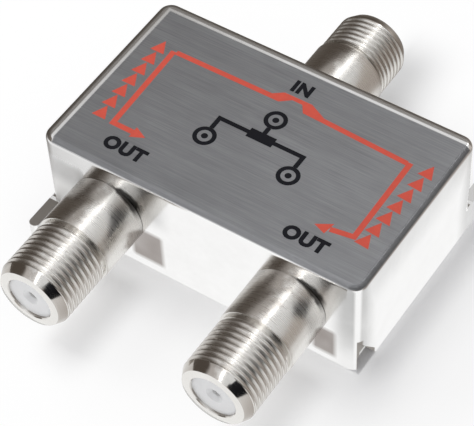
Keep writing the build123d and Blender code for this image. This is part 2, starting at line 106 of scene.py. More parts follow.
class PrintSettings(bpy.types.PropertyGroup):
    """Sizes and colours of the printing on the top."""

    ink_height: FloatProperty(
        name="Ink height", description="How thick the ink is",
        default=0.008 * MM, min=0.0, unit="LENGTH", precision=6)
    word_size: FloatProperty(
        name="Word size", description="Height of the port words",
        default=2.2 * MM, min=0.0, unit="LENGTH", precision=5)
    red: FloatVectorProperty(
        name="Red ink", description="Colour of the diagram",
        subtype="COLOR", size=3, min=0.0, max=1.0, default=(0.60, 0.085, 0.055))
    black: FloatVectorProperty(
        name="Black ink", description="Colour of the port words and the symbol",
        subtype="COLOR", size=3, min=0.0, max=1.0, default=(0.006, 0.006, 0.009))


class MetalSettings(bpy.types.PropertyGroup):
    """Colours of the metals."""

    plate: FloatVectorProperty(
        name="Nickel plate", description="Colour of the bright plated walls",
        subtype="COLOR", size=3, min=0.0, max=1.0, default=(0.96, 0.956, 0.948))
    # Colour of the painted shade on the front wall beside the outputs
    painted_shade: FloatVectorProperty(
        name="Brown film", description="Colour of the film on the front wall beside the outputs",
        subtype="COLOR", size=3, min=0.0, max=1.0, default=(0.29, 0.255, 0.235))
    # Colour of the painted shade on the sockets' flanks
    flank_shade_colour: FloatVectorProperty(
        name="Socket film", description="Colour of the brown film on the sockets' flanks",
        subtype="COLOR", size=3, min=0.0, max=1.0, default=(0.35, 0.312, 0.277))
    # Dark colour of the dull casting: painted shade in the corner reliefs, painted dark reflection on the
    # ears and the rim
    cast_shade_colour: FloatVectorProperty(
        name="As cast", description="Colour of the dull ears, corner reliefs and rim",
        subtype="COLOR", size=3, min=0.0, max=1.0, default=(0.25, 0.225, 0.20))
    brushed: FloatVectorProperty(
        name="Brushed top", description="Colour of the brushed top face",
        subtype="COLOR", size=3, min=0.0, max=1.0, default=(0.345, 0.350, 0.364))
    turned: FloatVectorProperty(
        name="Turned sockets", description="Colour of the plated sockets",
        subtype="COLOR", size=3, min=0.0, max=1.0, default=(0.80, 0.785, 0.755))


class StageSettings(bpy.types.PropertyGroup):
    """Camera, floor and light."""

    azimuth: FloatProperty(
        name="Azimuth", description="Direction of the camera round the box",
        default=math.radians(35.91), subtype="ANGLE")
    elevation: FloatProperty(
        name="Elevation", description="Height of the camera above the horizon",
        default=math.radians(50.95), subtype="ANGLE")
    roll: FloatProperty(
        name="Roll", description="Turn of the camera about its own line of sight",
        default=math.radians(-3.16), subtype="ANGLE")
    distance: FloatProperty(
        name="Distance", description="Distance of the camera from the box",
        default=248.7 * MM, unit="LENGTH", precision=4)
    lens: FloatProperty(
        name="Lens", description="Focal length on a 36 mm sensor", default=153.95, min=1.0)
    key_power: FloatProperty(
        name="Key power", description="Power of the large soft lamp", default=1.60, min=0.0)
    floor: FloatVectorProperty(
        name="Floor", description="Colour of the floor",
        subtype="COLOR", size=3, min=0.0, max=1.0, default=(0.965, 0.963, 0.967))


# Nodes

class Mixer:
    """Adds small nodes to one node tree and gives back their outputs."""

    def __init__(self, tree):
        self.nodes, self.links = tree.nodes, tree.links

    def feed(self, socket, value):
        """Links an input to an output, or sets it."""
        if isinstance(value, bpy.types.NodeSocket):
            self.links.new(value, socket)
        else:
            socket.default_value = value

    def paint(self, socket, colour):
        """Links a colour input to an output, or sets it to three numbers."""
        self.feed(socket, colour if isinstance(colour, bpy.types.NodeSocket) else (*colour, 1))

    def math(self, operation, *values):
        node = self.nodes.new("ShaderNodeMath")
        node.operation = operation
        for socket, value in zip(node.inputs, values):
            self.feed(socket, value)
        return node.outputs[0]

    def times(self, first, *others):
        """The product of all values."""
        for other in others:
            first = self.math("MULTIPLY", first, other)
        return first

    def most(self, first, *others):
        """The largest of all values."""
        for other in others:
            first = self.math("MAXIMUM", first, other)
        return first

    def ramp(self, value, start, end, at_start=0.0, at_end=1.0, kind="LINEAR"):
        """Runs from one number to another while the value goes from start to end, and stays level outside."""
        node = self.nodes.new("ShaderNodeMapRange")
        node.interpolation_type = kind
        for name, number in zip(("From Min", "From Max", "To Min", "To Max"), (start, end, at_start, at_end)):
            node.inputs[name].default_value = number
        self.links.new(value, node.inputs["Value"])
        return node.outputs["Result"]

    def ease(self, value, start, end, at_start=0.0, at_end=1.0):
        """A ramp with soft ends."""
        return self.ramp(value, start, end, at_start, at_end, "SMOOTHSTEP")

    def vary(self, noise, low, high):
        """Stretches the busy middle of a noise to a range of numbers."""
        return self.ramp(noise, 0.3, 0.7, low, high)

    def within(self, value, low, high, soft):
        """1 between two places, fading over a distance of soft to either side of each."""
        return self.times(self.ramp(value, low - soft, low + soft),
                          self.ramp(value, high - soft, high + soft, 1.0, 0.0))

    def faces(self, component, way=0):
        """1 on walls whose normal runs along an axis: both ways, or one way only."""
        turned = self.math("MULTIPLY", component, way) if way else self.math("ABSOLUTE", component)
        return self.ramp(turned, 0.8, 0.9)

    def toward(self, vector, direction, low, high):
        """1 in a cone about a direction, 0 outside it."""
        node = self.nodes.new("ShaderNodeVectorMath")
        node.operation = "DOT_PRODUCT"
        self.links.new(vector, node.inputs[0])
        node.inputs[1].default_value = Vector(direction).normalized()
        return self.ease(node.outputs["Value"], low, high)

    def split(self, vector):
        """The three numbers of a vector."""
        node = self.nodes.new("ShaderNodeSeparateXYZ")
        self.links.new(vector, node.inputs["Vector"])
        return node.outputs

    def place(self):
        """Where a point is on the whole object."""
        return self.nodes.new("ShaderNodeTexCoord").outputs["Object"]

    def normal(self):
        """Which way the surface faces."""
        return self.nodes.new("ShaderNodeNewGeometry").outputs["Normal"]

    def noise(self, cells, detail, roughness):
        """A noise with so many cells per metre, the same along each axis or three numbers."""
        mapping = self.nodes.new("ShaderNodeMapping")
        mapping.inputs["Scale"].default_value = cells if isinstance(cells, tuple) else (cells, cells, cells)
        node = self.nodes.new("ShaderNodeTexNoise")
        for name, number in (("Scale", 1.0), ("Detail", detail), ("Roughness", roughness)):
            node.inputs[name].default_value = number
        self.links.new(self.place(), mapping.inputs["Vector"])
        self.links.new(mapping.outputs["Vector"], node.inputs["Vector"])
        return node.outputs["Fac"]

    def relief(self, height, distance):
        """A bump node of some depth, whose strength and normal may still be fed."""
        node = self.nodes.new("ShaderNodeBump")
        node.inputs["Distance"].default_value = distance
        self.links.new(height, node.inputs["Height"])
        return node

    def blend(self, factor, first, second):
        """Mixes two colours."""
        node = self.nodes.new("ShaderNodeMix")
        node.data_type = "RGBA"
        self.feed(node.inputs["Factor"], factor)
        self.paint(node.inputs["A"], first)
        self.paint(node.inputs["B"], second)
        return node.outputs["Result"]

    def scaled(self, colour, factor):
        """A colour times a number."""
        node = self.nodes.new("ShaderNodeVectorMath")
        node.operation = "SCALE"
        self.feed(node.inputs[0], colour)
        self.feed(node.inputs["Scale"], factor)
        return node.outputs["Vector"]

    def background(self, colour, strength=1.0):
        node = self.nodes.new("ShaderNodeBackground")
        self.paint(node.inputs["Color"], colour)
        node.inputs["Strength"].default_value = strength
        return node.outputs[0]

    def layer(self, factor, under, over):
        """Mixes two shaders."""
        node = self.nodes.new("ShaderNodeMixShader")
        for socket, value in zip(node.inputs, (factor, under, over)):
            self.links.new(value, socket)
        return node.outputs[0]


# Materials

def material(name, colour, cells, metallic=0.0, roughness=0.5, bump=0.0, spread=0.08, rough_spread=0.08,
             coat=0.0, specular=0.5):
    """A surface whose colour, roughness and relief follow one noise. cells is its cells per metre."""
    made = bpy.data.materials.new(name)
    made.use_nodes = True
    mix = Mixer(made.node_tree)
    shader = mix.nodes["Principled BSDF"]
    for socket, value in (("Metallic", metallic), ("Coat Weight", coat), ("Specular IOR Level", specular)):
        shader.inputs[socket].default_value = value
    noise = mix.noise(cells, detail=4.0, roughness=0.6)
    darker = [max(0.0, c * (1 - spread)) for c in colour]
    lighter = [min(1.0, c * (1 + spread)) for c in colour]
    polish = mix.vary(noise, max(0.02, roughness - rough_spread), roughness + rough_spread)
    mix.feed(shader.inputs["Base Color"], mix.blend(noise, darker, lighter))
    mix.feed(shader.inputs["Roughness"], polish)
    if bump:
        mix.feed(shader.inputs["Normal"], mix.relief(noise, bump).outputs["Normal"])
    return made


def source(shader, name):
    """What an input of a shader is linked to."""
    return shader.inputs[name].links[0].from_socket


def put(made, *names):
    """Gives CAD nodes a material in every slot that they have."""
    for name in names:
        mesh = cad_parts[name].data
        mesh.materials.clear()
        mesh.materials.append(made)


def parts(owners, *kinds):
    """Names of the owners' CAD nodes of some kinds."""
    return [f"{owner}_{kind}" for owner in owners for kind in kinds]


# Casting. A zone gives where it starts and where it is full, as a place or as a part of the normal,
# and some zones then give their share at each of the two.

# Noises of the brushed top: cells per metre and detail
FINE_STREAKS = ((130, 9000, 130), 5.0)
WIDE_STREAKS = ((45, 900, 45), 3.0)
CLOUDS = ((160, 220, 160), 2.0)
STREAK_ROUGHNESS = 0.65
BRUSH_DEPTH = 0.004 * MM
# Roughness where the casting is left dull, and how much of the dark colour, painted shade and painted dark
# reflection, the dull metal and the rim get
CAST_ROUGHNESS = 0.42
DULL_SHADE_SHARE = 0.9
RIM_SHADE_SHARE = 0.85

# The top: its height, the land that stays bright left and back, and the rim outside that, painted dark as a
# dark reflection
CROWN = (TOP_Z - EDGE_RADIUS, TOP_Z - 0.5 * MM)
LAND = 1.5 * MM
LAND_FADE = 0.12 * MM
RIM = 1.1 * MM
RIM_FADE = 0.1 * MM
LEVEL = (0.985, 0.999)
UPWARD = (0.3, 0.6)

# The rounded front and right edge, by its normal
EDGE_X = (-0.05, -0.02)
EDGE_Y = (0.05, 0.02)
EDGE_Z = (0.35, 0.60)
# Painted shade: the brushed colour is darkened where the edge turns to the right
EDGE_RIGHT_SHADE = (0.02, 0.12, 1.0, 0.58)
EDGE_ROUGHER = (0.985, 0.95, 0.0, 0.22)

# The ears stand past the front and back wall, and the back one is lighter
EAR_PAST_WALL = (0.02 * MM, 0.06 * MM)
EAR_BY_SIDE = (0.0, 1.0 * MM, 1.0, 0.25)

# Corner reliefs: how far in from the end wall, how far in from the front or back wall, and their upper end
RELIEF_IN = (0.12 * MM, 1.5 * MM, 0.05 * MM)
RELIEF_ALONG = (0.45 * MM, 3.9 * MM, 0.03 * MM)
RELIEF_TOP = (5.3 * MM, 5.4 * MM, 1.0, 0.0)

# Painted shade on the front wall beside each output, a brown reflection of the shade under it: left, right,
# lower and upper edge, and how soft they are
SHADE_PATCHES = (
    (-9.6 * MM, -5.2 * MM, 1.5 * MM, 6.9 * MM),
    (15.8 * MM, 18.8 * MM, 1.1 * MM, 5.7 * MM),
)
SHADE_PATCH_SOFT_SIDE = 0.35 * MM
SHADE_PATCH_SOFT_END = 0.40 * MM
SHADE_PATCH_IN_FRONT = (0.0, -1.0 * MM)

# Painted shade on the plate, which darkens its colour: the side walls' ends and upper part, the front wall's
# right end, and the front wall right of the left output
WALL_SHADE_SIDE_ENDS = (9.0 * MM, 12.2 * MM, 0.0, 0.32)
WALL_SHADE_SIDE_HIGH = (8.5 * MM, 14.5 * MM, 0.0, 0.20)
WALL_SHADE_FRONT_END = (17.6 * MM, 20.2 * MM)
WALL_SHADE_FRONT_END_HIGH = (1.0 * MM, 8.0 * MM, 0.05, 0.40)
WALL_SHADE_LEFT_OUTPUT = (-3.2 * MM, -6.0 * MM)
WALL_SHADE_LEFT_OUTPUT_HIGH = (7.5 * MM, 10.5 * MM, 0.0, 0.22)

# The wall over the front ear is rougher, so that it doesn't mirror the ear
OVER_EAR = (-15.6 * MM, -16.6 * MM)
OVER_EAR_TOP = (13.5 * MM, 12.0 * MM)
OVER_EAR_ROUGHNESS = 0.62


def rounded_edge(mix, normal):
    """The top's rounded front and right edge, which the brushing runs over."""
    nx, ny, nz = normal
    return mix.times(mix.ramp(nx, *EDGE_X), mix.ramp(ny, *EDGE_Y), mix.ramp(nz, *EDGE_Z))


def brushed_top(mix, place, normal, edge):
    """Where the top is brushed: inside its bright land, and over the front and right edge."""
    x, y, z = place
    land = mix.times(mix.ramp(x, LAND - HALF_X, LAND + LAND_FADE - HALF_X),
                     mix.ramp(y, HALF_Y - LAND, HALF_Y - LAND - LAND_FADE))
    return mix.times(mix.most(edge, mix.ramp(normal[2], *LEVEL)), mix.ramp(z, *CROWN), land)


def dull_cast_and_shade(mix, place, normal):
    """Where the casting is dull and painted dark: painted shade in the corner reliefs, and a painted dark
    reflection on the ears and on the top's rim left and back.
    """
    x, y, z = place
    across, along = mix.math("ABSOLUTE", x), mix.math("ABSOLUTE", y)
    upward = mix.ramp(normal[2], *UPWARD)
    ears = mix.times(mix.ramp(along, *[HALF_Y + past for past in EAR_PAST_WALL]), upward,
                     mix.ramp(y, *EAR_BY_SIDE))
    shallow, deep, soft_in = RELIEF_IN
    near, far, soft_along = RELIEF_ALONG
    relief = mix.times(mix.within(across, HALF_X - deep, HALF_X - shallow, soft_in),
                       mix.within(along, HALF_Y - far, HALF_Y - near, soft_along),
                       mix.ramp(z, *RELIEF_TOP))
    rim = mix.times(mix.most(mix.ramp(x, RIM + RIM_FADE - HALF_X, RIM - HALF_X),
                             mix.ramp(y, HALF_Y - RIM - RIM_FADE, HALF_Y - RIM)),
                    mix.ramp(z, *CROWN), upward)
    return mix.most(ears, relief, mix.times(rim, RIM_SHADE_SHARE))


def painted_shade_patches(mix, place, normal, cloud):
    """Painted shade on the front wall right of each output: the shade under the output as the wall mirrors
    it, in brown.
    """
    x, y, z = place
    patches = [mix.times(mix.within(x, left, right, SHADE_PATCH_SOFT_SIDE), mix.within(z, low, high, SHADE_PATCH_SOFT_END))
               for left, right, low, high in SHADE_PATCHES]
    return mix.times(mix.most(*patches), mix.faces(normal[1]), mix.ramp(y, *SHADE_PATCH_IN_FRONT),
                     mix.vary(cloud, 0.75, 1.0))


def painted_wall_shade(mix, place, normal, front, cloud):
    """Painted shade: how much the plate's colour is darkened on the side walls and the front wall."""
    x, y, z = place
    sides = mix.most(mix.ease(mix.math("ABSOLUTE", y), *WALL_SHADE_SIDE_ENDS), mix.ease(z, *WALL_SHADE_SIDE_HIGH))
    ahead = mix.most(mix.times(mix.ease(x, *WALL_SHADE_FRONT_END), mix.ease(z, *WALL_SHADE_FRONT_END_HIGH)),
                     mix.times(mix.ease(x, *WALL_SHADE_LEFT_OUTPUT), mix.ease(z, *WALL_SHADE_LEFT_OUTPUT_HIGH)))
    wall_shade = mix.most(mix.times(sides, mix.faces(normal[0])), mix.times(front, ahead))
    return mix.times(wall_shade, mix.vary(cloud, 0.8, 1.2))


def plated_casting(settings):
    """Bright plate with a brushed top, dull cast ears and reliefs painted dark as shade and dark reflection,
    and painted shade beside the outputs.
    """
    made = material("plated_casting", settings.plate, 420, metallic=1.0, roughness=0.13, bump=0.006 * MM,
                    spread=0.05, rough_spread=0.05)
    mix = Mixer(made.node_tree)
    shader = mix.nodes["Principled BSDF"]
    place, normal = mix.split(mix.place()), mix.split(mix.normal())
    fine, wide, cloud = [mix.noise(cells, detail, STREAK_ROUGHNESS)
                         for cells, detail in (FINE_STREAKS, WIDE_STREAKS, CLOUDS)]
    edge = rounded_edge(mix, normal)
    brushed = brushed_top(mix, place, normal, edge)
    dull_and_shaded = dull_cast_and_shade(mix, place, normal)
    front = mix.faces(normal[1], -1)
    # Painted shade that darkens the plate on the walls
    wall_shade = painted_wall_shade(mix, place, normal, front, cloud)

    # Brushed streaks, with the painted shade on the right edge
    streaks_and_edge_shade = mix.times(mix.vary(fine, 0.80, 1.14), mix.vary(wide, 0.93, 1.07), mix.vary(cloud, 0.95, 1.05),
                         mix.ramp(normal[0], *EDGE_RIGHT_SHADE))
    colour = mix.blend(brushed, mix.scaled(source(shader, "Base Color"), mix.math("SUBTRACT", 1.0, wall_shade)),
                       mix.scaled(settings.brushed, streaks_and_edge_shade))
    # The dull casting, painted dark as shade and dark reflection
    colour = mix.blend(mix.times(dull_and_shaded, DULL_SHADE_SHARE), colour, settings.cast_shade_colour)
    # Painted shade on the front wall beside the outputs
    colour = mix.blend(painted_shade_patches(mix, place, normal, cloud), colour, settings.painted_shade)

    grain = mix.math("ADD", mix.vary(fine, 0.30, 0.44), mix.times(edge, mix.ramp(normal[2], *EDGE_ROUGHER)))
    over_ear = mix.times(front, mix.ramp(place[0], *OVER_EAR), mix.ramp(place[2], *OVER_EAR_TOP))
    rough = mix.most(source(shader, "Roughness"), mix.times(brushed, grain), mix.times(dull_and_shaded, CAST_ROUGHNESS),
                     mix.times(over_ear, OVER_EAR_ROUGHNESS))

    brushing = mix.relief(fine, BRUSH_DEPTH)
    mix.feed(brushing.inputs["Strength"], brushed)
    mix.feed(brushing.inputs["Normal"], source(shader, "Normal"))
    for name, value in (("Base Color", colour), ("Roughness", rough), ("Normal", brushing.outputs["Normal"])):
        mix.feed(shader.inputs[name], value)
    return made


# Socket plate. Its zones go by the normal's x, from 0 on top of a socket to 1 on its right

# Painted shade on the sockets' flanks, standing in for dark and brown reflections: the left side, and a band
# on the right
LEFT_SHADE = (0.38, -0.06)
LEFT_SHADE_UNDER = (-0.80, -0.40, 0.50, 1.0)
LEFT_SHADE_MOTTLE = 0.14
RIGHT_SHADE = (0.50, 0.66)
RIGHT_SHADE_END = (0.99, 0.955)
RIGHT_SHADE_SHARE = (0.66, 0.88, 0.58, 1.05)
FLANK_SHADE_SHARE = 0.85

# The right band of painted shade is thin on the collar, and stronger on the back socket: places from the
# collar's end, and y
SHADE_AT_THREAD = (-0.6 * MM, 0.4 * MM, 0.30, 1.0)
SHADE_ON_BACK_SOCKET = (0.0, 1.0 * MM, 1.0, 1.35)

# Painted shade in the joint with the wall, which widens down the right side
JOINT_SHADE_COLOUR = (0.020, 0.017, 0.015)
JOINT = (0.02, 0.20)
JOINT_END = (0.92, 0.80)
JOINT_WIDTH = (0.10, 0.80, 0.10 * MM, 0.75 * MM)
JOINT_WAVER = 0.15 * MM
JOINT_SHARE = 0.92

# The flanks only, not the end faces, by the normal's y
FLANK_Y = (0.75, 0.6)

# The taper at the mouth is turned finer than the rest
TAPER_FADE = 0.1 * MM
TAPER_ROUGHNESS = 0.45


def turned_metal(name, colour, roughness, spread=0.06):
    """Turned metal with fine rings along the socket's axis."""
    return material(name, colour, (300, 7000, 300), metallic=1.0, roughness=roughness, bump=0.0015 * MM,
                    spread=spread, rough_spread=0.06)


def flank_painted_shade(mix, normal, y, reach, mottle, collar_length):
    """Painted shade on a socket's flanks, standing in for the dark and brown surroundings it mirrors: mottled
    and broad on the left, a band on the right.
    """
    nx, ny, _ = normal
    blotched = mix.math("ADD", nx, mix.vary(mottle, -LEFT_SHADE_MOTTLE, LEFT_SHADE_MOTTLE))
    left = mix.times(mix.ease(blotched, *LEFT_SHADE), mix.ramp(nx, *LEFT_SHADE_UNDER))
    start, end, on_collar, on_thread = SHADE_AT_THREAD
    thread = mix.ramp(reach, collar_length + start, collar_length + end, on_collar, on_thread)
    right = mix.times(mix.ease(nx, *RIGHT_SHADE), mix.ease(nx, *RIGHT_SHADE_END),
                      mix.ramp(nx, *RIGHT_SHADE_SHARE), thread, mix.ramp(y, *SHADE_ON_BACK_SOCKET))
    return mix.times(mix.most(left, right), mix.ramp(mix.math("ABSOLUTE", ny), *FLANK_Y), FLANK_SHADE_SHARE)


def painted_joint_shade(mix, nx, reach, mottle):
    """Painted shade: a dark line where a socket meets the wall."""
    width = mix.math("ADD", mix.ramp(nx, *JOINT_WIDTH), mix.vary(mottle, -JOINT_WAVER, JOINT_WAVER))
    line = mix.ramp(mix.math("SUBTRACT", reach, width), -JOINT_WAVER, JOINT_WAVER, JOINT_SHARE, 0.0)
    return mix.times(line, mix.ramp(nx, *JOINT), mix.ramp(nx, *JOINT_END))


def socket_plate(metals, sizes):
    """Plate on turned brass, with painted shade on its flanks and in the joint at the wall, and a fine taper.
    """
    made = turned_metal("plated_socket", metals.turned, 0.29, spread=0.10)
    mix = Mixer(made.node_tree)
    shader = mix.nodes["Principled BSDF"]
    mottle = mix.noise(900, detail=3.0, roughness=0.5)
    normal = mix.split(mix.normal())
    y = mix.split(mix.place())[1]
    reach = mix.math("SUBTRACT", mix.math("ABSOLUTE", y), HALF_Y)
    painted_shade = flank_painted_shade(mix, normal, y, reach, mottle, sizes.collar_length)
    coloured = mix.blend(painted_shade, source(shader, "Base Color"), metals.flank_shade_colour)
    joint_shade = painted_joint_shade(mix, normal[0], reach, mottle)
    # Painted shade in the joint with the wall
    mix.feed(shader.inputs["Base Color"], mix.blend(joint_shade, coloured, JOINT_SHADE_COLOUR))
    front, back = FRONT_MOUTH_Y + sizes.tip_length, BACK_MOUTH_Y - sizes.tip_length
    shank = mix.times(mix.ramp(y, front, front + TAPER_FADE), mix.ramp(y, back, back - TAPER_FADE))
    turning = mix.ramp(shank, 0.0, 1.0, TAPER_ROUGHNESS, 1.0)
    mix.feed(shader.inputs["Roughness"], mix.times(source(shader, "Roughness"), turning))
    return made


class SPLITTER_OT_housing(bpy.types.Operator):
    """Finish the housing, the back cover and its solder"""

    bl_idname = "splitter.housing"
    bl_label = "Housing and cover"

    def execute(self, context):
        put(plated_casting(context.scene.splitter_metals), "housing")
        put(material("tinned_cover", (0.66, 0.66, 0.65), (60, 2600, 60), metallic=1.0, roughness=0.34,
                     bump=0.002 * MM), "back_cover")
        put(material("bright_solder", (0.74, 0.74, 0.76), 900, metallic=1.0, roughness=0.24, bump=0.02 * MM,
                     spread=0.07),
            "cover_solder", *parts(("ground", "contact", "lead"), "solder_joints"))
        return {"FINISHED"}


class SPLITTER_OT_insides(bpy.types.Operator):
    """Finish the insulators, contacts, board and components"""

    bl_idname = "splitter.insides"
    bl_label = "Insides"

    def execute(self, context):
        ports = [name for name, _ in SOCKETS]
        put(material("white_insulator", (0.93, 0.93, 0.925), 500, roughness=0.38, bump=0.004 * MM,
                     spread=0.03), *parts(ports, "front_insulator", "rear_insulator"))
        put(turned_metal("spring_bronze", (0.83, 0.60, 0.30), 0.24), *parts(ports, "contact"))
        put(material("board_laminate", (0.035, 0.16, 0.065), 2400, roughness=0.36, bump=0.004 * MM,
                     spread=0.2), "circuit_board")
        put(material("tinned_track", (0.76, 0.56, 0.42), 700, metallic=1.0, roughness=0.32, spread=0.12),
            "circuit_tracks")
        put(material("ferrite", (0.045, 0.045, 0.05), 3000, metallic=0.1, roughness=0.62, bump=0.01 * MM,
                     spread=0.25), *parts(TRANSFORMERS, "core"))
        put(material("enamelled_wire", (0.52, 0.14, 0.05), 1200, metallic=0.9, roughness=0.28, spread=0.1,
                     coat=0.6), *parts(TRANSFORMERS, "winding"))
        put(material("resistor_lacquer", (0.62, 0.45, 0.25), 900, roughness=0.34, bump=0.006 * MM,
                     spread=0.06, coat=0.4), "isolation_resistor_body")
        put(material("choke_lacquer", (0.05, 0.22, 0.12), 900, roughness=0.3, bump=0.008 * MM, spread=0.1,
                     coat=0.4), *parts(CHOKES, "body"))
        put(material("diode_moulding", (0.018, 0.018, 0.02), 1800, roughness=0.4, bump=0.004 * MM,
                     spread=0.3), *parts(DIODES, "body"))
        put(material("capacitor_dip", (0.50, 0.17, 0.03), 700, roughness=0.42, bump=0.012 * MM,
                     spread=0.1), *parts(CAPACITORS, "body"))
        put(material("tinned_wire", (0.72, 0.72, 0.71), (900, 900, 2600), metallic=1.0, roughness=0.26,
                     spread=0.06), *[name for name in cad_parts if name.endswith("_leads")])
        return {"FINISHED"}


# Sockets

# Thread profile, as share of the pitch and share of the depth
TOOTH = (
    (0.0, 0.0), (0.10, 0.05), (0.32, 0.90), (0.38, 1.0),
    (0.66, 1.0), (0.72, 0.90), (0.94, 0.05), (1.0, 0.0),
)
# Turns of the thread before its first cut and after its last
LEAD_IN, LEAD_OUT = 1.2, 0.2

SPIGOT_RADIUS = 4.1 * MM
BORE_RADIUS = 3.3 * MM
MOUTH_RADIUS = 3.0 * MM
LIP_LENGTH = 0.35 * MM

# Small steps and broken edges of the shell
THREAD_STEP = 0.02 * MM
GROOVE_STEP = 0.04 * MM
TIP_STEP = 0.06 * MM
TIP_BREAK = 0.05 * MM
COLLAR_BREAK = 0.12 * MM
COLLAR_MIDDLE = 0.3 * COLLAR_BREAK
FOOT_BREAK = 0.08 * MM
EDGE_BREAK = 0.10 * MM

# The angle past which an edge is shaded sharp, and the gap within which two heights are the same
CREASE = math.radians(40)
NEAR = 1e-6


def new_piece(name, bm, made):
    """Turns a bmesh into a piece that rides on the frame's only body."""
    mesh = bpy.data.meshes.new(name)
    bm.to_mesh(mesh)
    bm.free()
    mesh.materials.append(made)
    piece = bpy.data.objects.new(name, mesh)
    bpy.context.scene.collection.objects.link(piece)
    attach(piece, "root")
    return piece


def new_verts(made):
    """The vertices among what an operator made."""
    return [g for g in made["geom"] if isinstance(g, bmesh.types.BMVert)]


def ring_on(bm, edges, rings):
    """Extrudes a closed run of edges through rings of (radius, height) about the local Z axis."""
    for radius, height in rings:
        made = bmesh.ops.extrude_edge_only(bm, edges=edges)
        edges = [g for g in made["geom"] if isinstance(g, bmesh.types.BMEdge)]
        for vert in new_verts(made):
            flat = Vector((vert.co.x, vert.co.y)).normalized() * radius
            vert.co = Vector((flat.x, flat.y, height))
    return edges


def rim_at(bm, height):
    """The open edges at a height."""
    return [e for e in bm.edges if e.is_boundary and all(abs(v.co.z - height) < NEAR for v in e.verts)]


def thread(settings, first, last):
    """An open helical thread, cut square where it starts and ends."""
    pitch, depth, steps = settings.thread_pitch, settings.thread_depth, settings.steps
    root = settings.thread_radius - depth
    start = first - LEAD_IN * pitch
    bm = bmesh.new()
    verts = [bm.verts.new((root + high * depth, 0.0, start + along * pitch)) for along, high in TOOTH]
    edges = [bm.edges.new(pair) for pair in zip(verts, verts[1:])]
    count = int(round(((last - start) / pitch + LEAD_OUT) * steps))
    bmesh.ops.spin(
        bm, geom=verts + edges, cent=(0, 0, 0), axis=(0, 0, 1), dvec=(0, 0, pitch / steps),
        angle=math.tau * count / steps, steps=count, use_merge=False, use_duplicate=False)
    bmesh.ops.remove_doubles(bm, verts=bm.verts[:], dist=2e-6)
    for height, way in ((first, -1), (last, 1)):
        bmesh.ops.bisect_plane(
            bm, geom=bm.verts[:] + bm.edges[:] + bm.faces[:], dist=1e-8,
            plane_co=(0, 0, height), plane_no=(0, 0, way), clear_outer=True, clear_inner=False)
    for edge in rim_at(bm, first) + rim_at(bm, last):
        for vert in edge.verts:
            vert.co.z = first if abs(vert.co.z - first) < NEAR else last
    return bm


def socket_shell(settings, length):
    """A threaded socket as one closed shell, from its wall at local Z 0 to its mouth at local Z length."""
    crest, collar, tip = settings.thread_radius, settings.collar_radius, settings.tip_radius
    shoulder = settings.collar_length
    first = shoulder + settings.groove_length
    last = length - settings.tip_length
    neck = crest - settings.thread_depth - THREAD_STEP
    bm = thread(settings, first, last)
    inner = ring_on(bm, rim_at(bm, last), (
        (crest - THREAD_STEP, last + TIP_STEP), (tip + TIP_STEP, length - TIP_BREAK), (tip, length),
        (MOUTH_RADIUS + EDGE_BREAK, length), (MOUTH_RADIUS, length - EDGE_BREAK),
        (MOUTH_RADIUS, length - LIP_LENGTH), (BORE_RADIUS, length - LIP_LENGTH),
        (BORE_RADIUS, -WALL_THICKNESS)))
    outer = ring_on(bm, rim_at(bm, first), (
        (neck, first - GROOVE_STEP), (neck, shoulder), (collar - COLLAR_BREAK, shoulder),
        (collar - COLLAR_MIDDLE, shoulder - COLLAR_MIDDLE), (collar, shoulder - COLLAR_BREAK),
        (collar, EDGE_BREAK), (collar - FOOT_BREAK, 0.0), (SPIGOT_RADIUS, 0.0),
        (SPIGOT_RADIUS, -WALL_THICKNESS)))
    bmesh.ops.bridge_loops(bm, edges=inner + outer)
    bmesh.ops.recalc_face_normals(bm, faces=bm.faces[:])
    return bm


class SPLITTER_OT_sockets(bpy.types.Operator):
    """Make the three threaded sockets"""

    bl_idname = "splitter.sockets"
    bl_label = "Sockets"

    def execute(self, context):
        sizes = context.scene.splitter_sockets
        made = socket_plate(context.scene.splitter_metals, sizes)
        for name, side in SOCKETS:
            low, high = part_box(f"{name}_barrel")
            middle = (low + high) / 2
            mouth = high.y if side > 0 else low.y
            bm = socket_shell(sizes, side * mouth - HALF_Y)
            turn = Matrix.Rotation(math.radians(-90 * side), 4, "X")
            place = Matrix.Translation((middle.x, side * HALF_Y, middle.z))
            bmesh.ops.transform(bm, matrix=place @ turn, verts=bm.verts[:])
            piece = new_piece(f"{name}_socket", bm, made)
            piece.data.shade_smooth()
            piece.data.set_sharp_from_angle(angle=CREASE)
            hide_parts(f"{name}_barrel")
        return {"FINISHED"}


# Printing, in millimetres on the top

# Least cosine at a mitre, so that a sharp corner grows no spike
MITRE_LIMIT = 0.3


def band_outline(points, width):
    """Corner points of a bar of even width along points, mitred at its corners."""
    left, right = [], []
    for i, point in enumerate(points):
        here = Vector(point)
        before = (here - Vector(points[i - 1])).normalized() if i else None
        after = (Vector(points[i + 1]) - here).normalized() if i + 1 < len(points) else None
        run = ((before or after) + (after or before)).normalized()
        side = Vector((-run.y, run.x))
        out = after or before
        reach = width / 2 / max(MITRE_LIMIT, abs(side.dot(Vector((-out.y, out.x)))))
        left.append(tuple(here + side * reach))
        right.append(tuple(here - side * reach))
    return left + right[::-1]


LINE_WIDTH = 0.72
